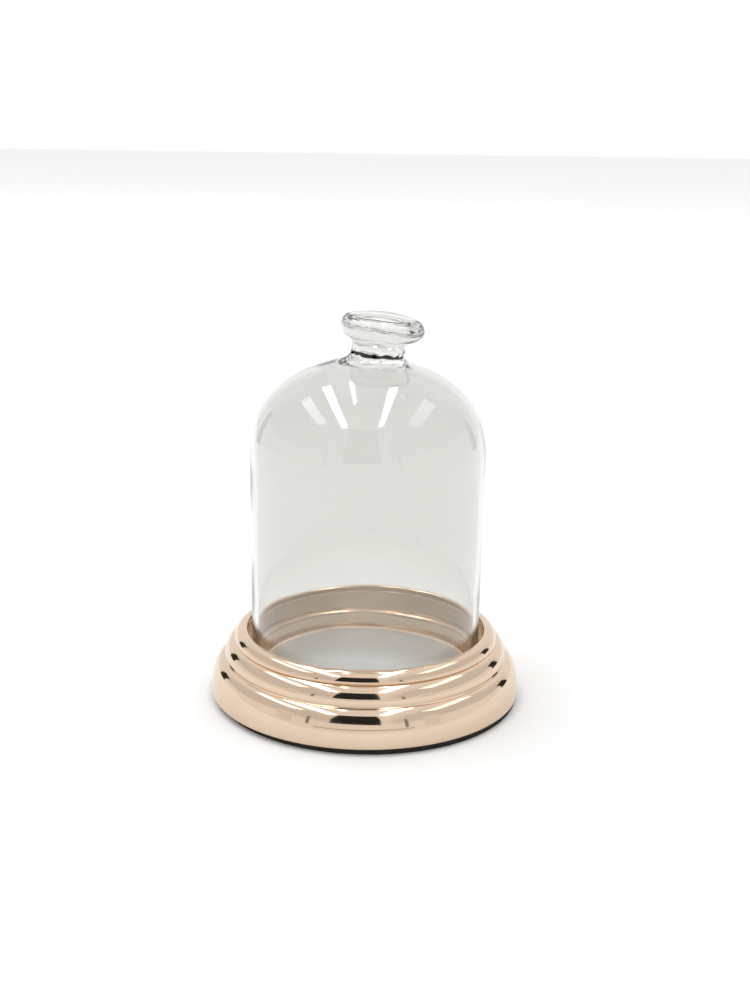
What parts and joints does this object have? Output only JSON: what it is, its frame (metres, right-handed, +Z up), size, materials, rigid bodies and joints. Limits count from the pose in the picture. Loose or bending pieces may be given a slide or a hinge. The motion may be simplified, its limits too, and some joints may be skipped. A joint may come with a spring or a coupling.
{
  "type": "bell jar dome",
  "caption": "Clear blown glass bell with a glass knob, standing in the well of a stepped, polished metal display base with a silver display plate and a black foot pad.",
  "frame": {"origin": "centre of the base's round footprint, on the plane the foot pad rests on", "axes": "+Z up along the axis of base and bell; +X towards the side the knob leans to; -Y is the front"},
  "size_m": [0.152, 0.152, 0.1897],
  "materials": {
    "clear_glass": "clear, fire polished, faintly wavy",
    "polished_rose_gold": "mirror polished, pale rose gold tone",
    "satin_rose_gold": "satin, turned, pale rose gold tone",
    "satin_silver": "satin, finely bead blasted",
    "zinc_steel": "zinc plated",
    "fibreboard": "raw medium density fibreboard",
    "black_foam": "matt, closed cell foam"
  },
  "bodies": {
    "base": {"base_moulding": "polished_rose_gold", "well_pan": "satin_rose_gold", "display_plate": "satin_silver", "clamp_stud": "zinc_steel", "clamp_washer": "zinc_steel", "clamp_nut": "zinc_steel", "base_board": "fibreboard", "foot_pad": "black_foam"},
    "dome": {"glass_dome": "clear_glass", "glass_knob": "clear_glass"}
  },
  "joints": [
    {"name": "dome_lift", "type": "slide", "parent": "base", "child": "dome", "axis": [0, 0, 1], "range_m": [0, 0.16]}
  ]
}
